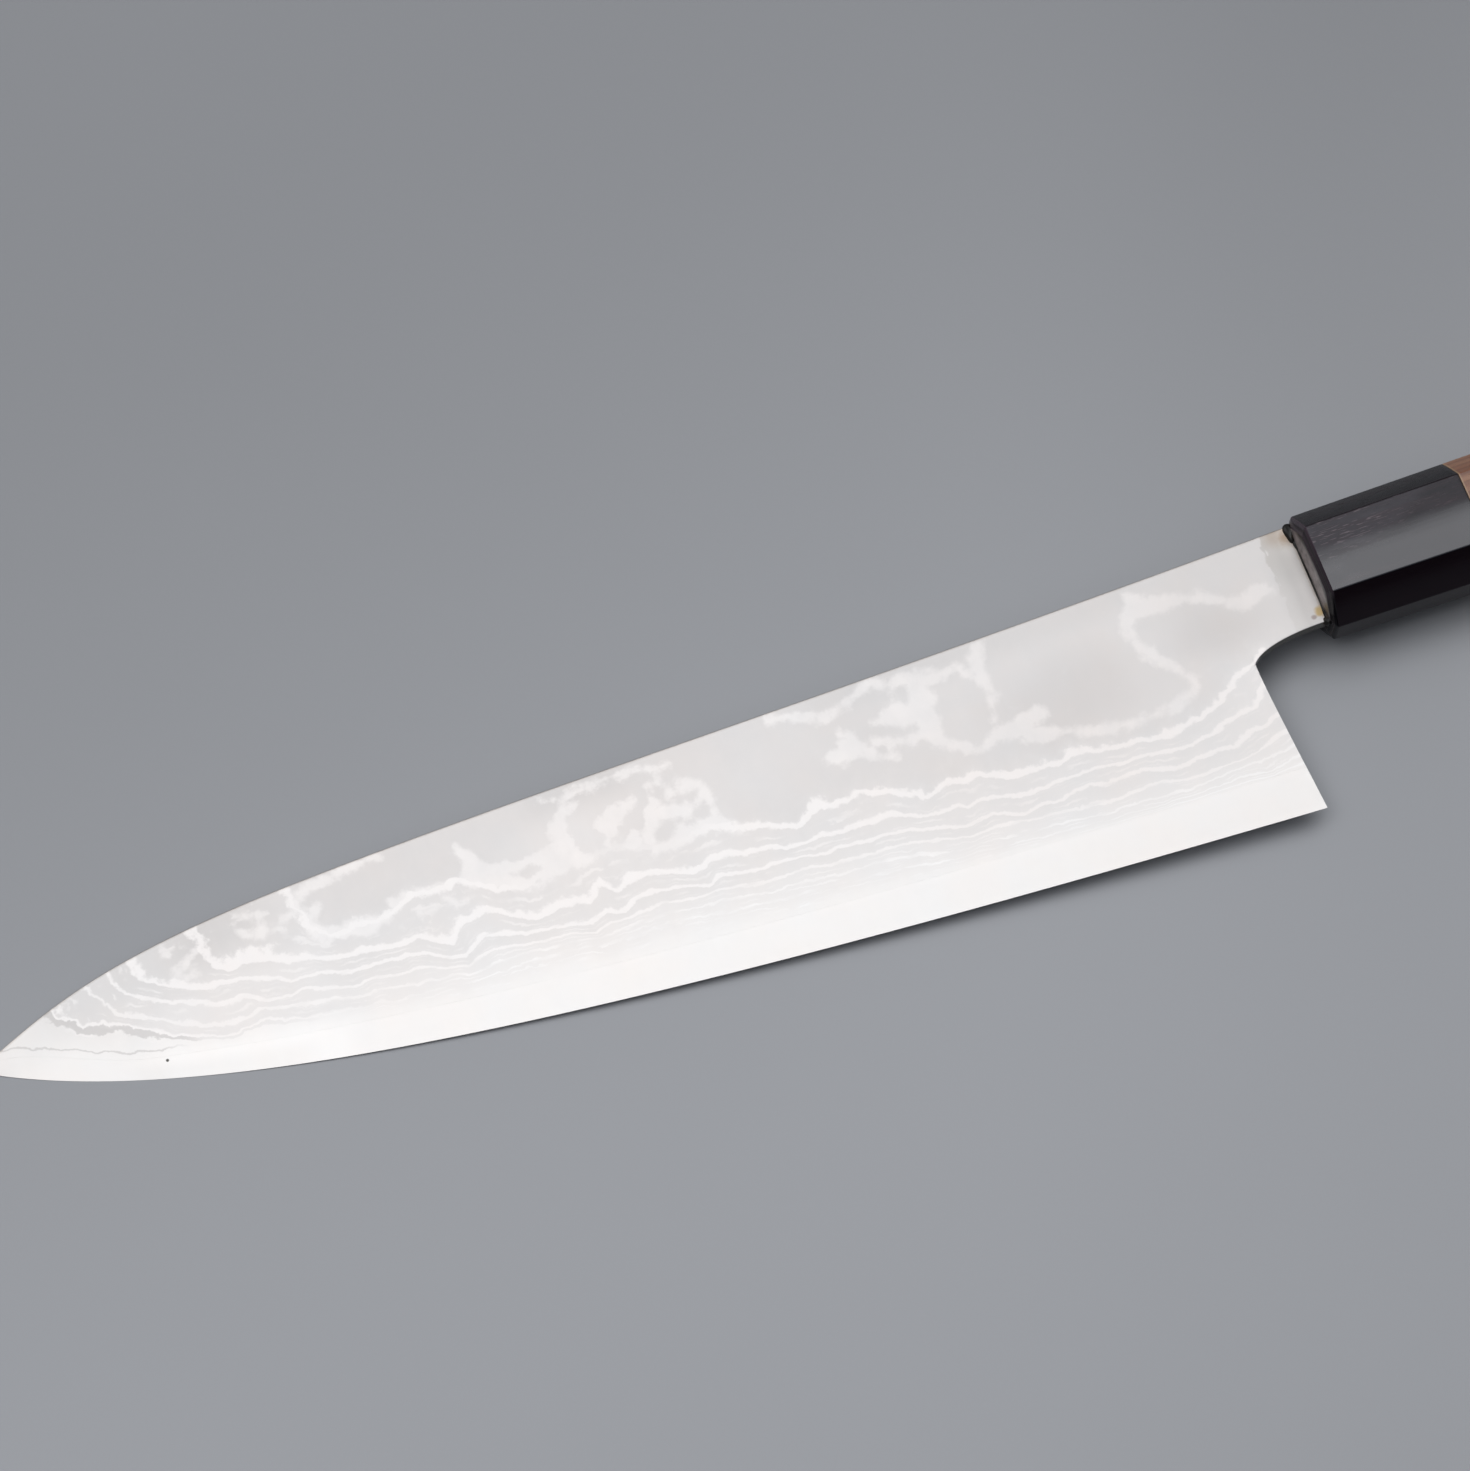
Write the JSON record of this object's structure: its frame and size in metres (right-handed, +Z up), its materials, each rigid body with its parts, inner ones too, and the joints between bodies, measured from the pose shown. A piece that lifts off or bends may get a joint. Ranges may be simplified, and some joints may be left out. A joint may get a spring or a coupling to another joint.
{
  "type": "gyuto chef's knife",
  "caption": "Kitchen knife with a long layered-steel blade, a bare cutting edge and an octagonal wooden handle with a dark collar, lying on its right side.",
  "frame": {"origin": "centre of the bounding box at its lowest level, the table that the knife lies on", "axes": "+X along the knife from the tip towards the butt, +Y from the cutting edge towards the spine, +Z up, out of the blade's left face"},
  "size_m": [0.398, 0.0546, 0.0263],
  "materials": {
    "core_steel": "fine satin",
    "cladding_left": "satin, with the flowing lines of folded layers",
    "cladding_right": "satin, with the flowing lines of folded layers",
    "ferrule": "dark hardwood, polished",
    "grip": "reddish brown wood, waxed",
    "tang_dowel": "plain sawn",
    "tang_bedding": "cured adhesive",
    "machi_seal": "cured adhesive"
  },
  "bodies": {
    "root": {"core_steel": "core_steel", "cladding_left": "cladding_left", "cladding_right": "cladding_right", "ferrule": "ferrule", "grip": "grip", "tang_dowel": "tang_dowel", "tang_bedding": "tang_bedding", "machi_seal": "machi_seal"}
  },
  "joints": []
}
